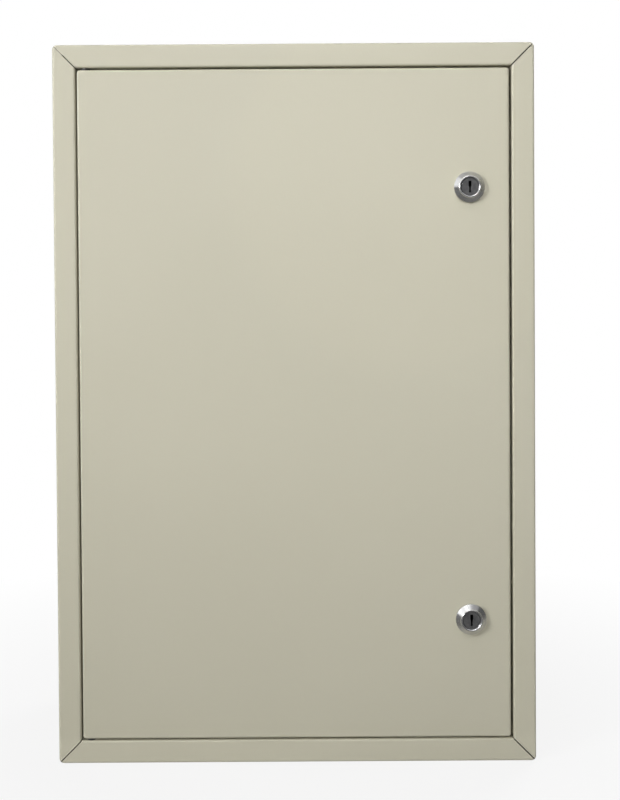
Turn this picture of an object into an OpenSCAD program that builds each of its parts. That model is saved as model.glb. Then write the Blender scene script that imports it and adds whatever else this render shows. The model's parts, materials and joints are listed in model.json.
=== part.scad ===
// Sheet-steel utility cabinet with an inset door, hidden pivot hinges and two cam locks.
// Millimetres. +Z is up, the door faces -Y, and the origin is the middle of the base.

/* [Cabinet] */
// Width of the cabinet
cabinet_w = 400; // [340:5:600]
// Height of the cabinet
cabinet_h = 600; // [450:5:900]
// Depth from the front frame to the wall
cabinet_d = 200; // [150:5:300]
// Thickness of the folded sheet
sheet_t = 1.2; // [1:0.1:1.6]
// Inside radius of every fold
fold_in_r = 0.8; // [0.5:0.1:1.2]
// Inside radius where the walls turn the upright corners
corner_in_r = 2.6; // [2:0.2:5]

/* [Front frame] */
// Width of the front frame
frame_w = 19; // [17:0.5:26]
// Width of the open mitre seam
mitre_slit = 0.8; // [0.4:0.1:1.2]
// Closed weld at the outer end of the bottom right mitre
weld_bottom_right = 3.4; // [2:0.1:14]
// Closed weld at the outer end of the bottom left mitre
weld_bottom_left = 2.5; // [2:0.1:14]
// Closed weld at the outer end of the top left mitre
weld_top_left = 12; // [2:0.1:14]
// Closed weld at the outer end of the top right mitre
weld_top_right = 3; // [2:0.1:14]

/* [Door] */
// Gap between door and frame on the hinge side
gap_hinge = 1.3; // [1.2:0.1:2.5]
// Gap between door and frame on the lock side
gap_lock = 2; // [1.2:0.1:3]
// Gap above the door
gap_top = 1.9; // [1.5:0.1:3]
// Gap below the door
gap_bottom = 1.5; // [1.2:0.1:3]
// Depth of the door's folded edge
door_fold_d = 10; // [9:0.5:12]
// Width of the foam seal
seal_w = 8; // [6:0.5:9]
// Thickness of the foam seal
seal_t = 6; // [4:0.5:7]
// Width of the stiffener's raised crown
stiffener_w = 36; // [20:1:60]
// Height of the stiffener's raised crown
stiffener_h = 12; // [8:1:14]
// Thickness of the stiffener's sheet
stiffener_t = 1; // [0.8:0.1:1.5]

/* [Hinge] */
// Diameter of the hinge pin
pin_d = 4; // [3:0.5:5]
// Wall of the plastic hinge bush
bush_wall = 0.72; // [0.6:0.02:1.2]
// Running clearance between pin and bush, on the radius
pin_clear = 0.08; // [0.04:0.01:0.1]
// Thickness of the pivot plates
pivot_plate_t = 2; // [1.5:0.5:3]

/* [Locks] */
// Distance from the lock-side wall to the locks
lock_inset = 54.5; // [50:0.5:80]
// Distance from the top and the base to the locks
lock_end_inset = 120; // [80:5:180]
// Diameter of the lock's rose
rose_d = 25.5; // [22:0.5:28]
// Diameter of the crest on the rose
crest_d = 18.6; // [17:0.2:20]
// Diameter of the turning plug
plug_d = 14; // [12:0.5:15]
// How far the lock stands out of the door
lock_proud = 7; // [5:0.5:10]
// Diameter of the threaded barrel
barrel_d = 18.5; // [17:0.5:20]
// Length of the cam from the lock's axis
cam_reach = 28; // [26:0.5:34]
// Height of the keyway
keyway_h = 9.8; // [7:0.2:10.4]

/* [Back and mounting plate] */
// Width of the flange around the back
rear_flange_w = 30; // [24:1:40]
// Diameter of the wall fixing holes
wall_hole_d = 9; // [7:0.5:11]
// Distance from the cabinet's edges to the wall fixing holes
wall_hole_inset = 18.5; // [13:0.5:20]
// Free margin around the mounting plate
plate_margin = 30; // [26:1:60]
// Thickness of the mounting plate
plate_t = 2; // [1.5:0.5:3]
// Distance from the back panel to the mounting plate
plate_standoff = 12; // [8:1:30]
// Diameter of the mounting plate studs
stud_d = 8; // [6:1:10]

/* [Gland plate] */
// Width of the cable opening in the base
gland_w = 260; // [160:10:280]
// Depth of the cable opening in the base
gland_d = 90; // [60:5:95]
// Width of the rim that the gland plate laps
gland_lap = 16; // [14:1:20]
// Thickness of the gland plate
gland_t = 2; // [1.5:0.5:3]
// Thickness of the gland plate's gasket
gasket_t = 2; // [1:0.5:3]
// Diameter of the gland plate studs
gland_stud_d = 6; // [5:0.5:6]

/* [Hidden] */
$fn = 64;
// Overrun of every cut past the face it opens
cut = 1;
// Clearance left between soft or loose pieces and what they pass
loose = 0.3;
// Clearance of a bolt, stud or barrel in its hole, on the radius
hole_clear = 0.25;
// Clearance of pieces that sweep past each other
sweep_clear = 0.5;
// A hexagon's width across corners over its width across flats
hex_share = 2 / sqrt(3);
// Nut and washer sizes over the diameter of their stud
nut_af_share = 1.65;
nut_t_share = 0.8;
washer_share = 2;
// A nut's chamfer over its width across flats: the face's radius, the cone's foot and the cone's height
nut_face_share = 0.475;
nut_foot_share = 0.6;
nut_chamfer_share = 0.07;

// Folds
fold_r = sheet_t + fold_in_r;
corner_r = sheet_t + corner_in_r;
front_y = (lock_proud - cabinet_d) / 2;
mitre_welds = [weld_bottom_right, weld_bottom_left, weld_top_left, weld_top_right];

// Door edges, seen from the front
door_x0 = frame_w + gap_hinge - cabinet_w / 2;
door_x1 = cabinet_w / 2 - frame_w - gap_lock;
door_z0 = frame_w + gap_bottom;
door_z1 = cabinet_h - frame_w - gap_top;
door_w = door_x1 - door_x0;
door_h = door_z1 - door_z0;
// How much rounder the door's corners are than its folds
door_corner_extra = 0.4;
door_corner_r = fold_r + door_corner_extra;

// Hinge axis, set just inside the fold of the door's edge
bush_r = pin_d / 2 + pin_clear + bush_wall;
bush_flange_lap = 1;
bush_flange_r = bush_r + bush_flange_lap;
bush_flange_t = min(gap_top, gap_bottom) - loose;
pivot_side_web = 1.8;
pivot_front_web = 0.4;
pivot_in = fold_r + bush_r + pivot_side_web;
pivot_x = door_x0 + pivot_in;
pivot_d = fold_r + bush_r + pivot_front_web;
// Room for the circle swept by the far corner of the door's folded edge
pivot_up = door_fold_d - pivot_d;
diagonal_share = 0.42;
sweep_r = max(pivot_in, pivot_up) + diagonal_share * min(pivot_in, pivot_up);

// Gutter behind the frame: the return, the ledge and the lip that meets the seal
return_d = pivot_d + sweep_r + sweep_clear + sheet_t;
lip_out = gap_hinge + pivot_in + sweep_r + sweep_clear;
gutter_w = lip_out + sheet_t;
lip_d = sheet_t + seal_t + loose;
seal_mid = lip_out + sheet_t / 2;

// Pivot plates and pins
pivot_plate_l = 19;
pivot_plate_end = 7;
pivot_plate_d = door_fold_d - fold_r - sheet_t;
pin_head_d = 8;
pin_head_t = 2;
pin_tail = 3;

// Lock parts, measured from the door's face into the cabinet
lock_x = cabinet_w / 2 - lock_inset;
lock_zs = [lock_end_inset, cabinet_h - lock_end_inset];
rose_rim = 2.8;
crest_r = 0.9;
plug_recess = 1.2;
plug_clear = 0.05;
plug_flange_t = 3;
plug_neck_d = 12;
barrel_flat = 16;
barrel_past_gutter = 0.4;
barrel_l = return_d + barrel_past_gutter;
lock_nut_af = 22;
lock_nut_t = 4;
stop_t = 1;
stop_in_r = 6.4;
stop_half_angle = 25;
stop_play = 2;
cam_turn = 90;
cam_t = 2.5;
cam_w = 15;
cam_end_r = 4;
cam_play = 0.2;
tail_w = 7;
tail_d = 6;
tail_washer_d = 13;
tail_washer_t = 1.2;
tail_nut_t = 4;
tail_past_nut = 1.5;
neck_end = barrel_l + cam_play;
cam_z = neck_end + stop_t;
tail_washer_z = cam_z + cam_t;
tail_nut_z = tail_washer_z + tail_washer_t;
tail_end = tail_nut_z + tail_nut_t + tail_past_nut;
keyway_w = 2.4;
keyway_narrow_w = 1.4;
keyway_end_d = 1.9;
keyway_top_share = 0.5;
keyway_l = 12;

// Stiffener
stiffener_flange = 14;
stiffener_end = 48;

// Back panel and mounting plate
panel_gap = 0.4;
panel_d1 = cabinet_d - sheet_t;
panel_d0 = panel_d1 - sheet_t;
plate_d1 = panel_d0 - plate_standoff;
plate_d0 = plate_d1 - plate_t;
plate_corner_r = 6;
stud_inset = 20;
spacer_wall = 3;
stud_washer_t = 1.6;
stud_nut_t = nut_t_share * stud_d;
stud_past_nut = 4;
stud_d0 = plate_d0 - stud_washer_t - stud_nut_t - stud_past_nut;

// Gland plate, lying on its gasket inside the base
gland_mid_d = (return_d + panel_d0) / 2;
gland_corner_r = 5;
gasket_z1 = sheet_t + gasket_t;
gland_z1 = gasket_z1 + gland_t;
gland_washer_t = 1.2;
gland_nut_t = nut_t_share * gland_stud_d;
gland_past_nut = 2;

// Earth studs
earth_d = 8;
earth_l = 22;
earth_x = -((gland_w / 2 + gland_lap) + (cabinet_w / 2 - sheet_t)) / 2;
earth_washer_t = 1.6;
door_earth_in = 40;
door_earth_d = 6;
door_earth_l = 14;

paint = [0.70, 0.68, 0.59];
zinc = [0.72, 0.73, 0.74];
galvanised = [0.66, 0.68, 0.70];
chrome = [0.80, 0.80, 0.81];
plug_steel = [0.36, 0.36, 0.37];
rubber = [0.09, 0.09, 0.09];
nylon = [0.13, 0.13, 0.13];

// Shared shapes

// From depth behind the front face to the part's own frame
module placed() {
    translate([0, front_y, 0]) children();
}

// A solid standing on a plane face: its 2D shape is drawn in (x, z) and runs from depth d0 to d1
module through_depth(d0, d1) {
    translate([0, d1, 0]) rotate([90, 0, 0]) linear_extrude(d1 - d0) children();
}

module rounded_rect(w, h, r) {
    square([w - 2 * r, h], center = true);
    square([w, h - 2 * r], center = true);
    for (x = [-1, 1], z = [-1, 1])
        translate([x * (w / 2 - r), z * (h / 2 - r)]) circle(r);
}

// A quarter of a folded corner about its centre, towards the signs given
module fold(centre, r, towards, t = sheet_t) {
    translate(centre) intersection() {
        difference() {
            circle(r);
            circle(r - t);
        }
        translate([min(towards[0], 0) * r, min(towards[1], 0) * r]) square(r);
    }
}

module flat(low, high) {
    translate(low) square(high - low);
}

// A hexagon nut with both faces chamfered
module hex_nut(af, bore_d, t) {
    face = nut_face_share * af;
    foot = nut_foot_share * af;
    rise = nut_chamfer_share * af;
    difference() {
        intersection() {
            cylinder(d = af * hex_share, h = t, $fn = 6);
            rotate_extrude() polygon([[0, 0], [face, 0], [foot, rise], [foot, t - rise], [face, t], [0, t]]);
        }
        translate([0, 0, -cut]) cylinder(d = bore_d, h = t + 2 * cut);
    }
}

module stud_nut(d) {
    hex_nut(nut_af_share * d, d, nut_t_share * d);
}

module ring(d, bore_d, t) {
    difference() {
        cylinder(d = d, h = t);
        translate([0, 0, -cut]) cylinder(d = bore_d, h = t + 2 * cut);
    }
}

module stud_washer(d, t) {
    ring(washer_share * d, d + 2 * hole_clear, t);
}

// Stands a shape made along +Z on a depth, pointing into the cabinet or out of it
module facing_in(d) {
    translate([0, d, 0]) rotate([-90, 0, 0]) children();
}

module facing_out(d) {
    translate([0, d, 0]) rotate([90, 0, 0]) children();
}

// The four corners of a rectangle, each made as the bottom right one and turned into place
module four_corners(w, h) {
    signs = [[1, -1], [-1, -1], [-1, 1], [1, 1]];
    for (k = [0:3])
        translate([signs[k][0] * w / 2, 0, signs[k][1] * h / 2])
            rotate([0, 90 * k, 0]) {
                $corner = k;
                children();
            }
}

// A profile of (inset, depth) turned round a corner of the walls
module turned_corner(r, depth) {
    rotate([-90, 0, 0]) rotate_extrude(angle = 90) intersection() {
        translate([r, 0]) mirror([1, 0]) children();
        translate([0, -cut]) square([r, depth + 2 * cut]);
    }
}

// That corner with an arm along each side, mitred where the arms meet inside the corner radius
module rim_corner(r, reach, depth, along, up) {
    turned_corner(r, depth) children();
    intersection() {
        rotate([0, -90, 0]) linear_extrude(along) translate([-r, 0]) children();
        through_depth(-cut, depth + cut)
            polygon([[0, -r - cut], [0, 0], [r - reach, reach - r], [-along, reach - r], [-along, -r - cut]]);
    }
    intersection() {
        linear_extrude(up) translate([r, 0]) mirror([1, 0]) children();
        through_depth(-cut, depth + cut)
            polygon([[r + cut, 0], [0, 0], [r - reach, reach - r], [r - reach, up], [r + cut, up]]);
    }
}

// A rim folded to a profile: four corners, whose arms overlap in the middle of each side
module folded_rim(w, h, r, reach, depth) {
    half_w = w / 2 - r + cut;
    half_h = h / 2 - r + cut;
    four_corners(w - 2 * r, h - 2 * r) {
        flat_lying = $corner % 2 == 0;
        rim_corner(r, reach, depth, flat_lying ? half_w : half_h, flat_lying ? half_h : half_w) children();
    }
}

// Cabinet

module shell_profile() {
    // outer wall, with the fold to the front frame and the fold to the rear flange
    flat([0, fold_r], [sheet_t, cabinet_d - fold_r]);
    fold([fold_r, fold_r], fold_r, [-1, -1]);
    fold([fold_r, cabinet_d - fold_r], fold_r, [-1, 1]);
    flat([fold_r, cabinet_d - sheet_t], [rear_flange_w, cabinet_d]);
    // front frame and its return
    flat([fold_r, 0], [frame_w - fold_r, sheet_t]);
    fold([frame_w - fold_r, fold_r], fold_r, [1, -1]);
    flat([frame_w - sheet_t, fold_r], [frame_w, return_d - fold_r]);
    // ledge and sealing lip of the gutter
    fold([frame_w - sheet_t + fold_r, return_d - fold_r], fold_r, [-1, 1]);
    flat([frame_w - sheet_t + fold_r, return_d - sheet_t], [frame_w + gutter_w - fold_r, return_d]);
    fold([frame_w + gutter_w - fold_r, return_d - fold_r], fold_r, [1, 1]);
    flat([frame_w + lip_out, lip_d], [frame_w + gutter_w, return_d - fold_r]);
}

module mitre_slits() {
    slit_d = return_d - 2 * fold_r;
    four_corners(cabinet_w - 2 * frame_w, cabinet_h - 2 * frame_w)
        rotate([0, 45, 0])
            translate([-cut, -cut, -mitre_slit / 2])
                cube([cut + frame_w * sqrt(2) - mitre_welds[$corner], slit_d + cut, mitre_slit]);
}

module wall_holes(d0, d1) {
    four_corners(cabinet_w - 2 * wall_hole_inset, cabinet_h - 2 * wall_hole_inset)
        facing_in(d0) cylinder(d = wall_hole_d, h = d1 - d0);
}

module body_shell() {
    color(paint) placed() difference() {
        translate([0, 0, cabinet_h / 2]) difference() {
            folded_rim(cabinet_w, cabinet_h, corner_r, frame_w + gutter_w + cut, cabinet_d) shell_profile();
            mitre_slits();
            wall_holes(cabinet_d - sheet_t - cut, cabinet_d + cut);
        }
        translate([0, gland_mid_d, -cut])
            linear_extrude(sheet_t + 2 * cut) rounded_rect(gland_w, gland_d, gland_corner_r);
        for (z = [frame_w - sheet_t, cabinet_h - frame_w])
            translate([pivot_x, pivot_d, z - cut]) cylinder(d = pin_d, h = sheet_t + 2 * cut);
    }
}

module back_panel() {
    w = cabinet_w - 2 * (fold_r + panel_gap);
    h = cabinet_h - 2 * (fold_r + panel_gap);
    color(paint) placed() translate([0, 0, cabinet_h / 2]) difference() {
        through_depth(panel_d0, panel_d1) rounded_rect(w, h, corner_in_r);
        wall_holes(panel_d0 - cut, panel_d1 + cut);
    }
}

// Hinges

// Height of a hinge's own parts: the frame's face at the gap, and the way into the frame
function hinge_z(upper) = upper ? cabinet_h - frame_w : frame_w;

// Shapes made for the upper hinge, turned over for the lower one
module at_hinge(upper) {
    placed() translate([pivot_x, pivot_d, hinge_z(upper)]) mirror([0, 0, upper ? 0 : 1]) children();
}

module frame_pivot_plate(upper) {
    color(zinc) at_hinge(upper) translate([0, 0, sheet_t]) difference() {
        translate([-pivot_plate_end, fold_r - pivot_d, 0])
            cube([pivot_plate_l, pivot_plate_d, pivot_plate_t]);
        translate([0, 0, -cut]) cylinder(d = pin_d, h = pivot_plate_t + 2 * cut);
    }
}

module hinge_pin(upper) {
    gap = upper ? gap_top : gap_bottom;
    shank = pin_tail + pivot_plate_t + sheet_t + gap + sheet_t + pivot_plate_t;
    color(zinc) at_hinge(upper) translate([0, 0, sheet_t + pivot_plate_t]) {
        cylinder(d = pin_head_d, h = pin_head_t);
        translate([0, 0, -shank]) cylinder(d = pin_d, h = shank);
    }
}

module door_pivot(upper) {
    gap = upper ? gap_top : gap_bottom;
    color(zinc) at_hinge(upper) translate([0, 0, -gap - sheet_t - pivot_plate_t]) difference() {
        translate([door_x0 + door_corner_r - pivot_x, fold_r - pivot_d, 0])
            cube([pivot_plate_l, pivot_plate_d, pivot_plate_t]);
        translate([0, 0, -cut]) cylinder(r = bush_r, h = pivot_plate_t + 2 * cut);
    }
}

module hinge_bush(upper) {
    gap = upper ? gap_top : gap_bottom;
    sleeve = sheet_t + pivot_plate_t;
    color(nylon) at_hinge(upper) translate([0, 0, -gap]) difference() {
        union() {
            translate([0, 0, -sleeve]) cylinder(r = bush_r, h = sleeve);
            cylinder(r = bush_flange_r, h = bush_flange_t);
        }
        translate([0, 0, -sleeve - cut])
            cylinder(r = pin_d / 2 + pin_clear, h = sleeve + bush_flange_t + 2 * cut);
    }
}

// Mounting plate

module at_studs() {
    placed() translate([0, 0, cabinet_h / 2])
        four_corners(cabinet_w - 2 * (plate_margin + stud_inset), cabinet_h - 2 * (plate_margin + stud_inset))
            children();
}

module mounting_plate() {
    color(galvanised) difference() {
        placed() translate([0, 0, cabinet_h / 2]) through_depth(plate_d0, plate_d1)
            rounded_rect(cabinet_w - 2 * plate_margin, cabinet_h - 2 * plate_margin, plate_corner_r);
        at_studs() facing_in(plate_d0 - cut) cylinder(d = stud_d + 2 * hole_clear, h = plate_t + 2 * cut);
    }
}

module plate_studs() {
    color(zinc) at_studs() facing_in(stud_d0) cylinder(d = stud_d, h = panel_d0 - stud_d0);
}

module plate_spacers() {
    color(zinc) at_studs() facing_in(plate_d1)
        ring(stud_d + 2 * hole_clear + 2 * spacer_wall, stud_d + 2 * hole_clear, plate_standoff);
}

module plate_washers() {
    color(zinc) at_studs() facing_out(plate_d0) stud_washer(stud_d, stud_washer_t);
}

module plate_nuts() {
    color(zinc) at_studs() facing_out(plate_d0 - stud_washer_t) stud_nut(stud_d);
}

// Gland plate

module at_gland_studs() {
    x = gland_w / 2 + gland_lap / 2;
    y = gland_d / 2 + gland_lap / 2;
    placed() translate([0, gland_mid_d, 0])
        for (p = [[-x, -y], [x, -y], [-x, y], [x, y], [0, -y], [0, y]]) translate([p[0], p[1], 0]) children();
}

module gland_outline(z0, z1) {
    placed() translate([0, gland_mid_d, z0]) linear_extrude(z1 - z0)
        rounded_rect(gland_w + 2 * gland_lap, gland_d + 2 * gland_lap, gland_corner_r);
}

module gland_stud_holes(z1) {
    at_gland_studs() cylinder(d = gland_stud_d + 2 * hole_clear, h = z1 + cut);
}

module gland_gasket() {
    color(rubber) difference() {
        gland_outline(sheet_t, gasket_z1);
        placed() translate([0, gland_mid_d, 0]) linear_extrude(gasket_z1 + cut)
            rounded_rect(gland_w, gland_d, gland_corner_r);
        gland_stud_holes(gasket_z1);
    }
}

module gland_plate() {
    color(galvanised) difference() {
        gland_outline(gasket_z1, gland_z1);
        gland_stud_holes(gland_z1);
    }
}

module gland_studs() {
    top = gland_z1 + gland_washer_t + gland_nut_t + gland_past_nut;
    color(zinc) at_gland_studs() translate([0, 0, sheet_t]) cylinder(d = gland_stud_d, h = top - sheet_t);
}

module gland_washers() {
    color(zinc) at_gland_studs() translate([0, 0, gland_z1])
        stud_washer(gland_stud_d, gland_washer_t);
}

module gland_nuts() {
    color(zinc) at_gland_studs() translate([0, 0, gland_z1 + gland_washer_t])
        stud_nut(gland_stud_d);
}

// Earth stud on the base, midway between the gland plate and the wall

module at_body_earth(up) {
    placed() translate([earth_x, gland_mid_d, sheet_t + up]) children();
}

module body_earth_stud() {
    color(zinc) at_body_earth(0) cylinder(d = earth_d, h = earth_l);
}

module body_earth_washer() {
    color(zinc) at_body_earth(0) stud_washer(earth_d, earth_washer_t);
}

module body_earth_nut() {
    color(zinc) at_body_earth(earth_washer_t) stud_nut(earth_d);
}

// Door

module door_profile() {
    flat([0, fold_r], [sheet_t, door_fold_d]);
    fold([fold_r, fold_r], fold_r, [-1, -1]);
    flat([fold_r, 0], [door_corner_r + cut, sheet_t]);
}

module at_door() {
    translate([(door_x0 + door_x1) / 2, 0, (door_z0 + door_z1) / 2]) children();
}

module barrel_outline(clear) {
    intersection() {
        circle(d = barrel_d + 2 * clear);
        square([barrel_d + 2 * cut, barrel_flat + 2 * clear], center = true);
    }
}

module door_panel() {
    color(paint) placed() difference() {
        at_door() {
            through_depth(0, sheet_t)
                square([door_w - 2 * door_corner_r, door_h - 2 * door_corner_r], center = true);
            folded_rim(door_w, door_h, door_corner_r, door_corner_r + 2 * cut, door_fold_d) door_profile();
        }
        for (z = lock_zs)
            translate([lock_x, 0, z]) through_depth(-cut, sheet_t + cut) barrel_outline(hole_clear);
        for (z = [door_z0 - cut, door_z1 - sheet_t - cut])
            translate([pivot_x, pivot_d, z]) cylinder(r = bush_r, h = sheet_t + 2 * cut);
    }
}

// Hat section drawn in (x, depth): the feet lie on the door, the crown stands off it
module stiffener_side() {
    half = stiffener_w / 2;
    top = sheet_t + stiffener_h;
    r = stiffener_t + fold_in_r;
    flat([half + fold_in_r, sheet_t], [half + stiffener_flange, sheet_t + stiffener_t]);
    fold([half + fold_in_r, sheet_t + r], r, [-1, -1], stiffener_t);
    flat([half - stiffener_t, sheet_t + r], [half, top - r]);
    fold([half - r, top - r], r, [1, 1], stiffener_t);
}

module door_stiffener() {
    crown = stiffener_w / 2 - stiffener_t - fold_in_r;
    top = sheet_t + stiffener_h;
    color(paint) placed() at_door() linear_extrude(door_h - 2 * stiffener_end, center = true) {
        stiffener_side();
        mirror([1, 0]) stiffener_side();
        flat([-crown, top - stiffener_t], [crown, top]);
    }
}

module door_seal() {
    mid_w = cabinet_w - 2 * (frame_w + seal_mid);
    mid_h = cabinet_h - 2 * (frame_w + seal_mid);
    color(rubber) placed() translate([0, 0, cabinet_h / 2]) difference() {
        through_depth(sheet_t, sheet_t + seal_t) rounded_rect(mid_w + seal_w, mid_h + seal_w, seal_w);
        through_depth(sheet_t - cut, sheet_t + seal_t + cut)
            rounded_rect(mid_w - seal_w, mid_h - seal_w, seal_w / 2);
    }
}

module at_door_earth(along) {
    placed() translate([door_x0 + door_earth_in, 0, door_z0 + door_earth_in]) facing_in(sheet_t + along)
        children();
}

module door_earth_stud() {
    color(zinc) at_door_earth(0) cylinder(d = door_earth_d, h = door_earth_l);
}

module door_earth_washer() {
    color(zinc) at_door_earth(0) stud_washer(door_earth_d, gland_washer_t);
}

module door_earth_nut() {
    color(zinc) at_door_earth(gland_washer_t) stud_nut(door_earth_d);
}

// Locks: each is drawn about its own axis along +Z, which points into the cabinet from the door's face

module at_lock(upper) {
    placed() translate([lock_x, 0, lock_zs[upper ? 1 : 0]]) rotate([-90, 0, 0]) children();
}

// A wedge between two angles, reaching past radius r
module wedge(r, from, to) {
    far = 2 * r;
    mid = (from + to) / 2;
    polygon([[0, 0], far * [cos(from), sin(from)], far * [cos(mid), sin(mid)], far * [cos(to), sin(to)]]);
}

module rose_profile() {
    crest_mid = crest_d / 2 - crest_r;
    bore = plug_d / 2 + plug_clear;
    polygon([
        [bore, 0], [rose_d / 2, 0], [rose_d / 2, -rose_rim],
        [crest_d / 2, crest_r - lock_proud], [crest_mid, crest_r - lock_proud],
        [bore, plug_recess - lock_proud + crest_r]
    ]);
    translate([crest_mid, crest_r - lock_proud]) circle(crest_r);
}

module lock_housing(upper) {
    neck = plug_neck_d / 2 + plug_clear;
    seat = plug_flange_t + plug_recess - lock_proud;
    color(chrome) at_lock(upper) difference() {
        union() {
            rotate_extrude() rose_profile();
            translate([0, 0, seat]) cylinder(d = plug_d + 2 * crest_r, h = -seat);
            linear_extrude(barrel_l) barrel_outline(0);
            translate([0, 0, barrel_l]) linear_extrude(cam_play + stop_t) intersection() {
                barrel_outline(0);
                difference() {
                    wedge(barrel_d, -stop_half_angle, stop_half_angle);
                    circle(stop_in_r + plug_clear);
                }
            }
        }
        translate([0, 0, -lock_proud - cut])
            cylinder(r = plug_d / 2 + plug_clear, h = lock_proud + cut + seat);
        translate([0, 0, -lock_proud]) cylinder(r = neck, h = lock_proud + barrel_l + cut);
    }
}

module lock_nut(upper) {
    color(zinc) at_lock(upper) translate([0, 0, sheet_t]) hex_nut(lock_nut_af, barrel_d, lock_nut_t);
}

// Keyway drawn in (x, z) about the lock's axis: wide above, narrow below, with a round end
module keyway_outline() {
    top = keyway_h * keyway_top_share;
    flat([-keyway_w / 2, keyway_h / 2 - top], [keyway_w / 2, keyway_h / 2]);
    flat([-keyway_narrow_w / 2, keyway_end_d / 2 - keyway_h / 2], [keyway_narrow_w / 2, keyway_h / 2]);
    translate([0, keyway_end_d / 2 - keyway_h / 2]) circle(d = keyway_end_d);
}

module square_tail(z1, clear) {
    intersection() {
        cylinder(d = tail_w * sqrt(2) + 2 * clear, h = z1);
        translate([0, 0, z1 / 2]) cube([tail_w + 2 * clear, tail_w + 2 * clear, z1], center = true);
    }
}

module lock_plug(upper) {
    face = plug_recess - lock_proud;
    color(plug_steel) at_lock(upper) difference() {
        union() {
            translate([0, 0, face]) cylinder(d = plug_d, h = plug_flange_t);
            translate([0, 0, face]) cylinder(d = plug_neck_d, h = neck_end - face);
            square_tail(tail_washer_z, 0);
            cylinder(d = tail_d, h = tail_end);
        }
        translate([0, 0, face - cut]) rotate([0, 0, 180]) linear_extrude(keyway_l + cut) keyway_outline();
    }
}

module stop_washer(upper) {
    middle = cam_turn / 2;
    half = middle + stop_half_angle + stop_play;
    color(zinc) at_lock(upper) translate([0, 0, neck_end]) linear_extrude(stop_t) difference() {
        circle(d = barrel_flat);
        difference() {
            wedge(barrel_d, middle - half, middle + half);
            circle(stop_in_r);
        }
        square(tail_w + 2 * plug_clear, center = true);
    }
}

module lock_cam(upper) {
    half = cam_w / 2;
    color(zinc) at_lock(upper) translate([0, 0, cam_z]) linear_extrude(cam_t) difference() {
        union() {
            circle(d = cam_w);
            flat([-half, 0], [half, cam_reach - cam_end_r]);
            flat([cam_end_r - half, 0], [half - cam_end_r, cam_reach]);
            for (x = [cam_end_r - half, half - cam_end_r])
                translate([x, cam_reach - cam_end_r]) circle(cam_end_r);
        }
        square(tail_w + 2 * plug_clear, center = true);
    }
}

module cam_washer(upper) {
    color(zinc) at_lock(upper) translate([0, 0, tail_washer_z])
        ring(tail_washer_d, tail_d + 2 * plug_clear, tail_washer_t);
}

module cam_nut(upper) {
    color(zinc) at_lock(upper) translate([0, 0, tail_nut_z])
        hex_nut(nut_af_share * tail_d, tail_d, tail_nut_t);
}

body_shell();
back_panel();
frame_pivot_plate(true);  // upper_pivot_plate
frame_pivot_plate(false);  // lower_pivot_plate
hinge_pin(true);  // upper_hinge_pin
hinge_pin(false);  // lower_hinge_pin
mounting_plate();
plate_studs();
plate_spacers();
plate_washers();
plate_nuts();
gland_plate();
gland_gasket();
gland_studs();
gland_washers();
gland_nuts();
body_earth_stud();
body_earth_washer();
body_earth_nut();
door_panel();
door_stiffener();
door_seal();
door_pivot(true);  // upper_door_pivot
door_pivot(false);  // lower_door_pivot
hinge_bush(true);  // upper_hinge_bush
hinge_bush(false);  // lower_hinge_bush
door_earth_stud();
door_earth_washer();
door_earth_nut();
lock_housing(true);  // upper_lock_housing
lock_housing(false);  // lower_lock_housing
lock_nut(true);  // upper_lock_nut
lock_nut(false);  // lower_lock_nut
lock_plug(true);  // upper_lock_plug
lock_plug(false);  // lower_lock_plug
stop_washer(true);  // upper_stop_washer
stop_washer(false);  // lower_stop_washer
lock_cam(true);  // upper_lock_cam
lock_cam(false);  // lower_lock_cam
cam_washer(true);  // upper_cam_washer
cam_washer(false);  // lower_cam_washer
cam_nut(true);  // upper_cam_nut
cam_nut(false);  // lower_cam_nut
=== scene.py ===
import json
import math
import bmesh
import bpy
from mathutils import Matrix, Vector


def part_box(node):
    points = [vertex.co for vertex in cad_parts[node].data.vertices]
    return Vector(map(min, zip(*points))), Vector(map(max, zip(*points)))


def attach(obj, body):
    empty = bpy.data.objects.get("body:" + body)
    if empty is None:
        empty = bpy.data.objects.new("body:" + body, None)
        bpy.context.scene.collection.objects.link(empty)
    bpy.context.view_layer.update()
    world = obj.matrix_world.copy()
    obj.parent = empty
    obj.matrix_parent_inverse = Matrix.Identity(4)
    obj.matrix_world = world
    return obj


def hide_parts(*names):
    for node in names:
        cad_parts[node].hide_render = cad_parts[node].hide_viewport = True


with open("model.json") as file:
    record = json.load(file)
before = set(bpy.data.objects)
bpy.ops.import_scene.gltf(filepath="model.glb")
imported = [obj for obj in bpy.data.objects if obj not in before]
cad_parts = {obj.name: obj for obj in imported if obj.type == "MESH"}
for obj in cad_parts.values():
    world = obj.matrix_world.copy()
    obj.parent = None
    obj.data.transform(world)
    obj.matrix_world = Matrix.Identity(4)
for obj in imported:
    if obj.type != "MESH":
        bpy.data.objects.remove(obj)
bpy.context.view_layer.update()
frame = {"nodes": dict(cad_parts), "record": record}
nodes = frame["nodes"]
print("frame loaded:", len(nodes), "nodes")


# small helpers for node trees

rising = (0.0, 1.0)
falling = (1.0, 0.0)
midReach = (0.3, 0.7)   # where a noise has most of its values
mixSockets = {"factor": 0, "first": 6, "second": 7, "result": 2}   # of a mix node set to colour


def clearTree(owner, outKind):
    owner.use_nodes = True
    tree = owner.node_tree
    tree.nodes.clear()
    return tree, tree.nodes.new(outKind)


def newMaterial(name):
    mat = bpy.data.materials.new(name)
    return mat, *clearTree(mat, "ShaderNodeOutputMaterial")


def addNode(tree, kind, **settings):
    node = tree.nodes.new(kind)
    for key, value in settings.items():
        if key.startswith("in_"):
            node.inputs[key.removeprefix("in_").replace("_", " ")].default_value = value
        else:
            setattr(node, key, value)
    return node


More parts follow.
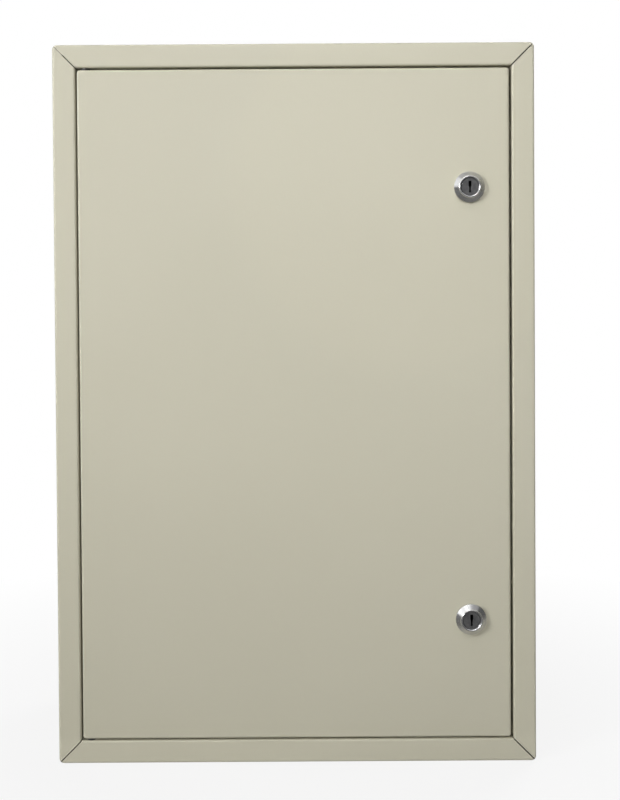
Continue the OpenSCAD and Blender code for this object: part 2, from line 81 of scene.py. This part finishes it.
def mathNode(tree, operation, a, b=None, c=None):
    node = tree.nodes.new("ShaderNodeMath")
    node.operation = operation
    for i, value in enumerate((a, b, c)):
        if value is None:
            continue
        if isinstance(value, (int, float)):
            node.inputs[i].default_value = value
        else:
            tree.links.new(value, node.inputs[i])
    return node.outputs[0]


def noise(tree, vector, scale, detail):
    node = addNode(tree, "ShaderNodeTexNoise", in_Scale=scale, in_Detail=detail)
    tree.links.new(vector, node.inputs["Vector"])
    return node.outputs["Fac"]


def remap(tree, value, reach, target=rising):
    node = addNode(tree, "ShaderNodeMapRange", clamp=True)
    tree.links.new(value, node.inputs[0])
    for i, number in enumerate((*reach, *target)):
        node.inputs[i + 1].default_value = number
    return node.outputs[0]


def mixColour(tree, fac, a, b, blend="MIX"):
    node = addNode(tree, "ShaderNodeMix", data_type="RGBA", blend_type=blend)
    for socketName, value in (("factor", fac), ("first", a), ("second", b)):
        socket = node.inputs[mixSockets[socketName]]
        if isinstance(value, (int, float)):
            socket.default_value = value
        elif isinstance(value, tuple):
            socket.default_value = (*value, 1.0)
        else:
            tree.links.new(value, socket)
    return node.outputs[mixSockets["result"]]


def bump(tree, height, strength, distance, under=None):
    node = addNode(tree, "ShaderNodeBump", in_Strength=strength, in_Distance=distance)
    tree.links.new(height, node.inputs["Height"])
    if under is not None:
        tree.links.new(under, node.inputs["Normal"])
    return node.outputs["Normal"]


def splitPlace(tree, where):
    node = addNode(tree, "ShaderNodeSeparateXYZ")
    tree.links.new(where, node.inputs[0])
    return tuple(node.outputs)


def objectPlace(tree):
    return addNode(tree, "ShaderNodeTexCoord").outputs["Object"]


def startFinish(name, **settings):
    mat, tree, out = newMaterial(name)
    shader = addNode(tree, "ShaderNodeBsdfPrincipled", **settings)
    tree.links.new(shader.outputs[0], out.inputs[0])
    return mat, tree, shader, objectPlace(tree)


def feed(tree, shader, sockets):
    for socketName, value in sockets.items():
        tree.links.new(value, shader.inputs[socketName])


# powder-coated sheet
# in every finish a noise is its scale per metre and detail, a relief its strength and distance

paint = {
    "base": (0.545, 0.522, 0.410),
    "pale": (0.566, 0.543, 0.429),
    "ior": 1.45,
    "roughness": (0.40, 0.50),
    "cloud": (3.5, 2.0),
    "cloudReach": (0.35, 0.65),
    "peel": (520.0, 2.0),        # the coat's orange peel
    "grain": (2600.0, 1.0),
    "grainLevel": (0.955, 1.0),
    "grainHeight": 0.25,         # against the orange peel's
    "relief": (0.10, 0.0003),
}
seam = {
    # painted shade in the mitre slits: the line's colour, width and darkness
    "colour": (0.10, 0.097, 0.085),
    "half": 0.00028,
    "fade": 2.2,                 # half widths at which the line has faded out
    "widening": (1.0, 1.55),     # left-hand mitres, right-hand mitres
    "depth": (0.68, 0.95),
    "leftToRight": (-0.01, 0.01),
    "groove": -2.0,              # against the orange peel's height
    "frontHalf": (0.2, 0.3),
    "frameEnd": (0.0185, 0.0190),
    "frontEnd": (-0.0958, -0.0950),
}


def mitreLine(tree, where):
    # weld line along each mitre of the front frame: a groove in the relief, coloured near black as painted
    # shade in the slit, darker and wider at the right-hand mitres
    x, y, z = splitPlace(tree, where)
    halfWidth, halfHeight = seam["frontHalf"]
    fromSide = mathNode(tree, "SUBTRACT", halfWidth, mathNode(tree, "ABSOLUTE", x))
    fromMiddle = mathNode(tree, "ABSOLUTE", mathNode(tree, "SUBTRACT", z, halfHeight))
    fromEnd = mathNode(tree, "SUBTRACT", halfHeight, fromMiddle)
    off = mathNode(tree, "ABSOLUTE", mathNode(tree, "SUBTRACT", fromSide, fromEnd))
    off = mathNode(tree, "DIVIDE", off, remap(tree, x, seam["leftToRight"], seam["widening"]))
    line = remap(tree, off, (seam["half"], seam["half"] * seam["fade"]), falling)
    onFrame = remap(tree, mathNode(tree, "MAXIMUM", fromSide, fromEnd), seam["frameEnd"], falling)
    onFront = remap(tree, y, seam["frontEnd"], falling)
    line = mathNode(tree, "MULTIPLY", line, mathNode(tree, "MULTIPLY", onFrame, onFront))
    return line, mathNode(tree, "MULTIPLY", line, remap(tree, x, seam["leftToRight"], seam["depth"]))


def paintMaterial(name, seams):
    mat, tree, shader, where = startFinish(name, in_Metallic=0.0, in_IOR=paint["ior"])
    cloud = noise(tree, where, *paint["cloud"])
    peel = noise(tree, where, *paint["peel"])
    grain = noise(tree, where, *paint["grain"])
    colour = mixColour(tree, remap(tree, cloud, paint["cloudReach"]), paint["base"], paint["pale"])
    speck = remap(tree, grain, midReach, paint["grainLevel"])
    tint = addNode(tree, "ShaderNodeCombineColor")
    for socket in tint.inputs:
        tree.links.new(speck, socket)
    colour = mixColour(tree, 1.0, colour, tint.outputs[0], "MULTIPLY")
    height = mathNode(tree, "MULTIPLY_ADD", grain, paint["grainHeight"], peel)
    if seams:
        line, slitShade = mitreLine(tree, where)
        # painted shade: the mitre slits take the near-black colour
        colour = mixColour(tree, slitShade, colour, seam["colour"])
        height = mathNode(tree, "MULTIPLY_ADD", line, seam["groove"], height)
    feed(tree, shader, {"Base Color": colour,
                        "Roughness": remap(tree, peel, midReach, paint["roughness"]),
                        "Normal": bump(tree, height, *paint["relief"])})
    return mat


# plated and galvanised steel

zinc = {
    "base": (0.60, 0.61, 0.62),
    "warm": (0.64, 0.62, 0.56),
    "roughness": (0.26, 0.42),
    "cloud": (90.0, 3.0),
    "cloudReach": (0.35, 0.7),
    "fine": (1800.0, 2.0),
    "fineReach": (0.25, 0.75),
    "relief": (0.12, 0.0001),
}


def zincMaterial():
    mat, tree, shader, where = startFinish("zincPlate", in_Metallic=1.0)
    cloud = noise(tree, where, *zinc["cloud"])
    fine = noise(tree, where, *zinc["fine"])
    colour = mixColour(tree, remap(tree, cloud, zinc["cloudReach"]), zinc["base"], zinc["warm"])
    feed(tree, shader, {"Base Color": colour,
                        "Roughness": remap(tree, fine, zinc["fineReach"], zinc["roughness"]),
                        "Normal": bump(tree, fine, *zinc["relief"])})
    return mat


galvanised = {
    "dark": (0.52, 0.54, 0.56),
    "light": (0.68, 0.70, 0.72),
    "metal": 0.65,
    "roughness": (0.38, 0.55),
    "spangleScale": 95.0,
    "spangleShare": 0.7,
    "fine": (700.0, 3.0),
    "fineShare": 0.3,
    "relief": (0.08, 0.0002),
}


def galvanisedMaterial():
    mat, tree, shader, where = startFinish("galvanisedSheet", in_Metallic=galvanised["metal"])
    cells = addNode(tree, "ShaderNodeTexVoronoi", in_Scale=galvanised["spangleScale"])
    tree.links.new(where, cells.inputs["Vector"])
    spangle = addNode(tree, "ShaderNodeSeparateColor")
    tree.links.new(cells.outputs["Color"], spangle.inputs[0])
    fine = noise(tree, where, *galvanised["fine"])
    level = mathNode(tree, "MULTIPLY", spangle.outputs[0], galvanised["spangleShare"])
    level = mathNode(tree, "MULTIPLY_ADD", fine, galvanised["fineShare"], level)
    feed(tree, shader, {"Base Color": mixColour(tree, level, galvanised["dark"], galvanised["light"]),
                        "Roughness": remap(tree, spangle.outputs[1], rising, galvanised["roughness"]),
                        "Normal": bump(tree, fine, *galvanised["relief"])})
    return mat


# lock metals: both locks sit at the same distance from mid height, so one radius serves both

lockPlace = {"x": 0.1455, "fromMiddle": 0.18, "middle": 0.3}


def aroundLock(tree, where):
    x, y, z = splitPlace(tree, where)
    across = mathNode(tree, "SUBTRACT", x, lockPlace["x"])
    up = mathNode(tree, "ABSOLUTE", mathNode(tree, "SUBTRACT", z, lockPlace["middle"]))
    up = mathNode(tree, "SUBTRACT", up, lockPlace["fromMiddle"])
    square = mathNode(tree, "MULTIPLY_ADD", across, across, mathNode(tree, "MULTIPLY", up, up))
    return mathNode(tree, "SQRT", square), y


chrome = {
    "bright": (0.86, 0.86, 0.865),
    "dull": (0.70, 0.70, 0.705),
    "roughness": (0.18, 0.28),
    "smear": (160.0, 3.0),
    "smearShare": 0.3,
    "smearRelief": (0.04, 0.0002),
    "crestRadius": (0.0092, 0.0099),
    "crestSheen": (0.8, 0.0),            # painted highlight: the crest gets the lighter chrome colour, the cone the duller one
    "barrelRadius": (0.0090, 0.0092),    # the barrel's flats lie nearer its axis
    "barrelY": (-0.0950, -0.0947),
    "threadPitch": 0.001,
    "threadRelief": (0.8, 0.0003),
}


def chromeMaterial():
    mat, tree, shader, where = startFinish("lockChrome", in_Metallic=1.0)
    radius, y = aroundLock(tree, where)
    smear = noise(tree, where, *chrome["smear"])
    # painted highlight: inside the crest radius the chrome is mixed towards the lighter colour
    crest = remap(tree, radius, chrome["crestRadius"], chrome["crestSheen"])
    bright = mathNode(tree, "MULTIPLY_ADD", smear, chrome["smearShare"], crest)
    # fine thread on the barrel behind the door, none on its flats
    wave = mathNode(tree, "SINE", mathNode(tree, "MULTIPLY", y, math.tau / chrome["threadPitch"]))
    rounded = remap(tree, radius, chrome["barrelRadius"])
    behind = remap(tree, y, chrome["barrelY"])
    ridges = mathNode(tree, "MULTIPLY", wave, mathNode(tree, "MULTIPLY", rounded, behind))
    smeared = bump(tree, smear, *chrome["smearRelief"])
    feed(tree, shader, {"Base Color": mixColour(tree, bright, chrome["dull"], chrome["bright"]),
                        "Roughness": remap(tree, smear, midReach, chrome["roughness"]),
                        "Normal": bump(tree, ridges, *chrome["threadRelief"], smeared)})
    return mat


plug = {
    "dark": (0.40, 0.40, 0.41),
    "light": (0.56, 0.56, 0.56),
    # painted shade: the colour inside the keyway
    "keywayShade": (0.02, 0.02, 0.02),
    "roughness": (0.16, 0.26),
    "keywayRoughness": 0.5,           # added to the metal's
    "smear": (240.0, 3.0),
    "smearReach": (0.35, 0.7),
    "ringRate": 9000.0,              # radians per metre
    "ringRelief": (0.08, 0.00002),
    "faceY": -0.1023,
    "keyStart": (0.0002, 0.0010),    # depth behind the face
    "keyEnd": (0.0125, 0.0130),
}


def plugMaterial():
    mat, tree, shader, where = startFinish("lockPlugMetal", in_Metallic=1.0)
    radius, y = aroundLock(tree, where)
    smear = noise(tree, where, *plug["smear"])
    rings = mathNode(tree, "SINE", mathNode(tree, "MULTIPLY", radius, plug["ringRate"]))
    colour = mixColour(tree, remap(tree, smear, plug["smearReach"]), plug["dark"], plug["light"])
    # painted shade down the keyway: the metal there is near black and rougher
    depth = mathNode(tree, "SUBTRACT", y, plug["faceY"])
    inside = mathNode(tree, "MULTIPLY", remap(tree, depth, plug["keyStart"]),
                      remap(tree, depth, plug["keyEnd"], falling))
    polish = remap(tree, smear, midReach, plug["roughness"])
    feed(tree, shader, {"Base Color": mixColour(tree, inside, colour, plug["keywayShade"]),
                        "Roughness": mathNode(tree, "MULTIPLY_ADD", inside, plug["keywayRoughness"], polish),
                        "Normal": bump(tree, rings, *plug["ringRelief"])})
    return mat


# foam, rubber and nylon

soft = {
    "foamSkin": {"dark": (0.020, 0.020, 0.021), "light": (0.045, 0.045, 0.046), "roughness": 0.88,
                 "pores": (900.0, 3.0), "relief": (0.35, 0.0003)},
    "sheetRubber": {"dark": (0.018, 0.018, 0.018), "light": (0.034, 0.034, 0.034), "roughness": 0.70,
                    "pores": (1500.0, 3.0), "relief": (0.15, 0.0003)},
    "bushNylon": {"dark": (0.024, 0.024, 0.024), "light": (0.040, 0.040, 0.040), "roughness": 0.50,
                  "pores": (2200.0, 3.0), "relief": (0.08, 0.0003)},
}


def softMaterial(name):
    look = soft[name]
    mat, tree, shader, where = startFinish(name, in_Metallic=0.0, in_Roughness=look["roughness"])
    pores = noise(tree, where, *look["pores"])
    colour = mixColour(tree, remap(tree, pores, midReach), look["dark"], look["light"])
    feed(tree, shader, {"Base Color": colour, "Normal": bump(tree, pores, *look["relief"])})
    return mat


finishes = {
    "shellPaint": paintMaterial("shellPaint", True),
    "doorPaint": paintMaterial("doorPaint", False),
    "zincPlate": zincMaterial(),
    "galvanisedSheet": galvanisedMaterial(),
    "lockChrome": chromeMaterial(),
    "lockPlugMetal": plugMaterial(),
}
for softName in soft:
    finishes[softName] = softMaterial(softName)

slotFinish = {
    "enclosure_paint": "doorPaint",
    "zinc_steel": "zincPlate",
    "galvanised_sheet": "galvanisedSheet",
    "lock_chrome": "lockChrome",
    "lock_plug": "lockPlugMetal",
    "seal_foam": "foamSkin",
    "gasket_rubber": "sheetRubber",
    "bush_nylon": "bushNylon",
}
for part in frame["record"]["subparts"]:
    finish = "shellPaint" if part["node"] == "body_shell" else slotFinish[part["material_slot"]]
    mesh = nodes[part["node"]].data
    mesh.materials.clear()
    mesh.materials.append(finishes[finish])
print("finishes on the CAD nodes:", len(finishes))


# modelling helpers: pick by place in edit mode, then tidy up

tolerance = {"weld": 1e-6, "cut": 1e-7, "pick": 1e-5}


def beginPiece():
    if bpy.context.object and bpy.context.object.mode != "OBJECT":
        bpy.ops.object.mode_set(mode="OBJECT")
    bpy.ops.object.select_all(action="DESELECT")


def pick(obj, kind, test):
    bpy.ops.mesh.select_mode(type=kind)
    bpy.ops.mesh.select_all(action="DESELECT")
    edit = bmesh.from_edit_mesh(obj.data)
    layer = {"EDGE": edit.edges, "FACE": edit.faces}[kind]
    for item in layer:
        if test(item):
            item.select_set(True)
    edit.select_flush_mode()
    bmesh.update_edit_mesh(obj.data)


def closePiece(obj, name, smoothAngle):
    bpy.ops.mesh.select_all(action="SELECT")
    bpy.ops.mesh.remove_doubles(threshold=tolerance["weld"])
    bpy.ops.mesh.normals_make_consistent(inside=False)
    bpy.ops.object.mode_set(mode="OBJECT")
    bpy.ops.object.transform_apply(location=True, rotation=True, scale=True)
    bpy.ops.object.shade_smooth_by_angle(angle=math.radians(smoothAngle))
    obj.name = obj.data.name = name


def dress(obj, finish, body, node):
    obj.data.materials.clear()
    obj.data.materials.append(finishes[finish])
    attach(obj, body)
    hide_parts(node)


# foam seal on the door: a poured bead with a domed, slightly uneven top

seal = {
    "width": 0.008,
    "corner": 0.0098,
    "cornerSteps": 6,
    "dome": 0.0032,
    "domeSteps": 5,
    "cuts": 60,
    "cutFrom": 0.2,          # edges longer than this are cut
    "steep": 0.5,            # the walls' normals lean less than this towards the top
    "smoothAngle": 60.0,
    "unevenness": 0.0005,
    "unevenSize": 0.03,
    "unevenMiddle": 0.75,
}


def foamSeal():
    low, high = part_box("door_seal")
    beginPiece()
    middle = ((low[0] + high[0]) / 2, low[1], (low[2] + high[2]) / 2)
    bpy.ops.mesh.primitive_plane_add(size=1.0, location=middle, rotation=(math.radians(90), 0, 0))
    bead = bpy.context.object
    bead.scale = (high[0] - low[0], high[2] - low[2], 1.0)
    bpy.ops.object.transform_apply(location=True, rotation=True, scale=True)
    bpy.ops.object.mode_set(mode="EDIT")
    bpy.ops.mesh.select_all(action="SELECT")
    bpy.ops.mesh.bevel(offset=seal["corner"], segments=seal["cornerSteps"], affect="VERTICES")
    pick(bead, "FACE", lambda face: True)
    bpy.ops.mesh.inset(thickness=seal["width"], use_even_offset=True)
    bpy.ops.mesh.delete(type="FACE")
    bpy.ops.mesh.select_all(action="SELECT")
    bpy.ops.mesh.extrude_region_move(TRANSFORM_OT_translate={"value": (0, high[1] - low[1], 0)})
    top = high[1] - tolerance["pick"]
    pick(bead, "EDGE", lambda edge: all(v.co.y > top for v in edge.verts) and len(edge.link_faces) == 2
         and any(abs(f.normal.y) < seal["steep"] for f in edge.link_faces))
    bpy.ops.mesh.bevel(offset=seal["dome"], segments=seal["domeSteps"], affect="EDGES")
    pick(bead, "EDGE", lambda edge: edge.calc_length() > seal["cutFrom"])
    bpy.ops.mesh.subdivide(number_cuts=seal["cuts"])
    closePiece(bead, "foamSeal", seal["smoothAngle"])
    cloud = bpy.data.textures.new("sealCloud", "CLOUDS")
    cloud.noise_scale = seal["unevenSize"]
    wave = bead.modifiers.new("uneven", "DISPLACE")
    wave.texture = cloud
    wave.texture_coords = "LOCAL"
    wave.strength = seal["unevenness"]
    wave.mid_level = seal["unevenMiddle"]
    bpy.ops.object.modifier_apply(modifier="uneven")
    dress(bead, "foamSkin", "door", "door_seal")


foamSeal()
print("foam seal modelled")


# threaded weld studs: one thread is turned up, then copied to every place

studs = {
    "plateStuds": {"node": "plate_studs", "body": "cabinet", "along": "-Y", "diameter": 0.008,
                   "pitch": 0.00125, "places": "corners"},
    "glandStuds": {"node": "gland_studs", "body": "cabinet", "along": "Z", "diameter": 0.006,
                   "pitch": 0.0010, "places": "cornersAndMiddle"},
    "bodyEarthStud": {"node": "body_earth_stud", "body": "cabinet", "along": "Z", "diameter": 0.008,
                      "pitch": 0.00125, "places": "one"},
    "doorEarthStud": {"node": "door_earth_stud", "body": "door", "along": "Y", "diameter": 0.006,
                      "pitch": 0.0010, "places": "one"},
}
thread = {
    "depthShare": 0.55,      # these four are shares of the pitch
    "flankShare": 0.40,
    "crestShare": 0.14,
    "rootShare": 0.06,
    "turnsBelow": 2,
    "turnsSpare": 4,
    "stepsRound": 20,
    "shank": 0.0025,
    "lead": 0.0008,
    "leadShare": 0.82,       # of the thread's width
    "smoothAngle": 30.0,
}


def threadedStud(look, length):
    pitch = look["pitch"]
    depth = pitch * thread["depthShare"]
    flank = pitch * thread["flankShare"]
    profile = ((depth, 0, flank), (0, 0, pitch * thread["crestShare"]),
               (-depth, 0, flank), (0, 0, pitch * thread["rootShare"]))
    beginPiece()
    bpy.ops.mesh.primitive_plane_add(size=pitch)
    rod = bpy.context.object
    bpy.ops.object.mode_set(mode="EDIT")
    bpy.ops.mesh.select_mode(type="VERT")   # one point alone can't stay selected in the other modes
    bpy.ops.mesh.select_all(action="SELECT")
    bpy.ops.mesh.merge(type="CENTER")
    bpy.ops.transform.translate(value=(look["diameter"] / 2 - depth, 0, -thread["turnsBelow"] * pitch))
    for step in profile:
        bpy.ops.mesh.extrude_region_move(TRANSFORM_OT_translate={"value": step})
    bpy.ops.object.mode_set(mode="OBJECT")
    turn = rod.modifiers.new("turn", "SCREW")
    turn.axis = "Z"
    turn.angle = math.tau
    turn.screw_offset = pitch
    turn.iterations = math.ceil(length / pitch) + thread["turnsSpare"]
    turn.steps = turn.render_steps = thread["stepsRound"]
    turn.use_merge_vertices = True
    turn.merge_threshold = tolerance["weld"]
    bpy.ops.object.modifier_apply(modifier="turn")
    bpy.ops.object.mode_set(mode="EDIT")
    bpy.ops.mesh.select_all(action="SELECT")
    bpy.ops.mesh.remove_doubles(threshold=tolerance["weld"])
    threadEnd = length - thread["lead"]
    for height, keepAbove in ((thread["shank"], True), (threadEnd, False)):
        bpy.ops.mesh.select_all(action="SELECT")
        bpy.ops.mesh.bisect(plane_co=(0, 0, height), plane_no=(0, 0, 1), use_fill=True,
                            threshold=tolerance["cut"], clear_inner=keepAbove, clear_outer=not keepAbove)
    # plain shank below the thread and a tapered lead above it
    for height, rise, share in ((thread["shank"], -thread["shank"], 1.0),
                                (threadEnd, thread["lead"], thread["leadShare"])):
        pick(rod, "FACE", lambda f: all(abs(v.co.z - height) < tolerance["weld"] for v in f.verts))
        bpy.ops.mesh.extrude_region_move(TRANSFORM_OT_translate={"value": (0, 0, rise)})
        bpy.ops.transform.resize(value=(share, share, 1.0), center_override=(0, 0, height + rise))
    closePiece(rod, "stud", thread["smoothAngle"])
    return rod


turnTo = {"Z": Matrix(), "Y": Matrix.Rotation(math.radians(-90), 4, "X"),
          "-Y": Matrix.Rotation(math.radians(90), 4, "X")}


def studSet(name):
    look = studs[name]
    low, high = (Vector(c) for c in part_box(look["node"]))
    radius = look["diameter"] / 2
    axis = "XYZ".index(look["along"][-1])
    first, second = [i for i in range(3) if i != axis]
    near, middle, far = zip(*((low[i] + radius, (low[i] + high[i]) / 2, high[i] - radius) for i in range(3)))
    cross = {
        "corners": [(u, v) for u in (near[first], far[first]) for v in (near[second], far[second])],
        "cornersAndMiddle": [(u, v) for u in (near[first], middle[first], far[first])
                             for v in (near[second], far[second])],
        "one": [(middle[first], middle[second])],
    }[look["places"]]
    rod = threadedStud(look, high[axis] - low[axis])
    root = high[axis] if look["along"][0] == "-" else low[axis]
    copies = []
    for u, v in cross:
        place = Vector((0, 0, 0))
        place[first], place[second], place[axis] = u, v, root
        one = rod.copy()
        one.data = rod.data.copy()
        one.data.transform(Matrix.Translation(place) @ turnTo[look["along"]])
        bpy.context.scene.collection.objects.link(one)
        copies.append(one)
    bpy.data.objects.remove(rod)
    beginPiece()
    for one in copies:
        one.select_set(True)
    bpy.context.view_layer.objects.active = copies[0]
    if len(copies) > 1:
        bpy.ops.object.join()
    whole = bpy.context.view_layer.objects.active
    whole.name = whole.data.name = name
    dress(whole, "zincPlate", look["body"], look["node"])


for studName in studs:
    studSet(studName)
print("threaded studs modelled:", len(studs), "sets")


# camera, fitted to the corners of the front frame and the locks together

cameraSetup = {
    "place": (0.0137, -1.1026, 0.3899),
    "turn": (88.899, 0.376, 0.051),
    "lens": 54.43,
    "sensor": 36.0,
    "shiftY": -0.10,
}
cameraData = bpy.data.cameras.new("camera")
cameraData.lens = cameraSetup["lens"]
cameraData.sensor_width = cameraSetup["sensor"]
cameraData.shift_y = cameraSetup["shiftY"]
camera = bpy.data.objects.new("camera", cameraData)
camera.location = cameraSetup["place"]
camera.rotation_euler = [math.radians(a) for a in cameraSetup["turn"]]
bpy.context.scene.collection.objects.link(camera)
bpy.context.scene.camera = camera


# floor, world and lamps

stage = {
    "floorSize": 12.0,
    "floorDrop": 0.0004,
    "floorColour": (0.58, 0.58, 0.58),
    "whiteNear": 0.85,   # share of plain white close to the cabinet, the rest takes the shadow
    "whiteReach": (0.22, 0.70),
}
white = (1.0, 1.0, 1.0, 1.0)


def seenDirectly(tree):
    path = addNode(tree, "ShaderNodeLightPath")
    seen = mathNode(tree, "MAXIMUM", path.outputs["Is Camera Ray"], path.outputs["Is Glossy Ray"])
    return mathNode(tree, "MAXIMUM", seen, path.outputs["Is Transmission Ray"])


def mixShaders(tree, out, share, first, second):
    mix = addNode(tree, "ShaderNodeMixShader")
    for i, value in enumerate((share, first.outputs[0], second.outputs[0])):
        tree.links.new(value, mix.inputs[i])
    tree.links.new(mix.outputs[0], out.inputs[0])


def floorMaterial():
    mat, tree, out = newMaterial("floorPale")
    matte = addNode(tree, "ShaderNodeBsdfDiffuse", in_Color=(*stage["floorColour"], 1.0))
    glow = addNode(tree, "ShaderNodeEmission", in_Color=white, in_Strength=1.0)
    x, y = splitPlace(tree, objectPlace(tree))[:2]
    square = mathNode(tree, "MULTIPLY_ADD", x, x, mathNode(tree, "MULTIPLY", y, y))
    share = remap(tree, mathNode(tree, "SQRT", square), stage["whiteReach"], (stage["whiteNear"], 1.0))
    mixShaders(tree, out, mathNode(tree, "MULTIPLY", seenDirectly(tree), share), matte, glow)
    return mat


beginPiece()
bpy.ops.mesh.primitive_plane_add(size=stage["floorSize"], location=(0, 0, -stage["floorDrop"]))
floor = bpy.context.object
floor.name = "floor"
floor.data.materials.append(floorMaterial())

worldLook = {"fill": 0.20, "backdrop": 1.0}   # the fill lights all that isn't a mirror
world = bpy.data.worlds.new("studio")
bpy.context.scene.world = world
worldTree, worldOut = clearTree(world, "ShaderNodeOutputWorld")
fill = addNode(worldTree, "ShaderNodeBackground", in_Color=white, in_Strength=worldLook["fill"])
backdrop = addNode(worldTree, "ShaderNodeBackground", in_Color=white, in_Strength=worldLook["backdrop"])
mixShaders(worldTree, worldOut, seenDirectly(worldTree), fill, backdrop)

lamps = {
    "key": {"place": (-1.5, -1.4, 0.9), "aim": (0.0, -0.1, 0.4), "size": 0.65, "spread": 180, "power": 23.0,
            "inMetal": True},
    "front": {"place": (0.1, -2.2, 1.1), "aim": (0.1, -0.1, 0.5), "size": 0.6, "spread": 30, "power": 0.73,
              "inMetal": False},   # mirrors show the front card instead
    "top": {"place": (-0.4, -1.1, 2.2), "aim": (0.0, -0.1, 0.4), "size": 1.1, "spread": 180, "power": 11.6,
            "inMetal": True},
    "rear": {"place": (1.3, 1.8, 1.5), "aim": (0.0, 0.1, 0.3), "size": 1.0, "spread": 180, "power": 34.0,
             "inMetal": True},     # for the back and the right side
}
for lampName, look in lamps.items():
    lampData = bpy.data.lights.new(lampName, "AREA")
    lampData.shape = "SQUARE"
    lampData.size = look["size"]
    lampData.energy = look["power"]
    lampData.spread = math.radians(look["spread"])
    lamp = bpy.data.objects.new(lampName, lampData)
    lamp.location = look["place"]
    lamp.rotation_euler = (Vector(look["aim"]) - Vector(look["place"])).to_track_quat("-Z", "Y").to_euler()
    lamp.visible_camera = False
    lamp.visible_glossy = look["inMetal"]
    bpy.context.scene.collection.objects.link(lamp)

# grey cards that only mirror rays see, as a photographer flags bright metal

flags = {
    "frontFlag": {"place": (0.0, -2.4, 0.9), "turn": (90, 0, 0), "size": (4.2, 2.2), "grey": 0.38},
    "rightFlag": {"place": (1.9, -0.9, 0.8), "turn": (90, 0, 90), "size": (2.6, 2.2), "grey": 0.16},
    "topFlag": {"place": (0.5, -0.36, 1.8), "turn": (0, 0, 0), "size": (2.9, 0.82), "grey": 0.70},
    "lowFlag": {"place": (-0.3, -1.187, 0.02), "turn": (0, 0, 0), "size": (4.2, 2.176), "grey": 0.18},
    "leftFlag": {"place": (-2.4, -0.6, 0.37), "turn": (90, 0, 90), "size": (2.4, 0.75), "grey": 0.18},
    "sideFlag": {"place": (1.1, 0.2, 0.02), "turn": (0, 0, 0), "size": (1.7, 0.7), "grey": 0.24},
}
for flagName, look in flags.items():
    grey = look["grey"]
    finish, tree, out = newMaterial(flagName + "Card")
    matte = addNode(tree, "ShaderNodeBsdfDiffuse", in_Color=(grey, grey, grey, 1.0))
    tree.links.new(matte.outputs[0], out.inputs[0])
    beginPiece()
    bpy.ops.mesh.primitive_plane_add(size=1.0, location=look["place"],
                                     rotation=[math.radians(a) for a in look["turn"]])
    card = bpy.context.object
    card.name = flagName
    card.scale = (*look["size"], 1.0)
    card.data.materials.append(finish)
    for ray in ("camera", "diffuse", "transmission", "volume_scatter", "shadow"):
        setattr(card, "visible_" + ray, False)

bpy.context.scene.view_settings.view_transform = "Standard"
print("camera, stage and lamps set")
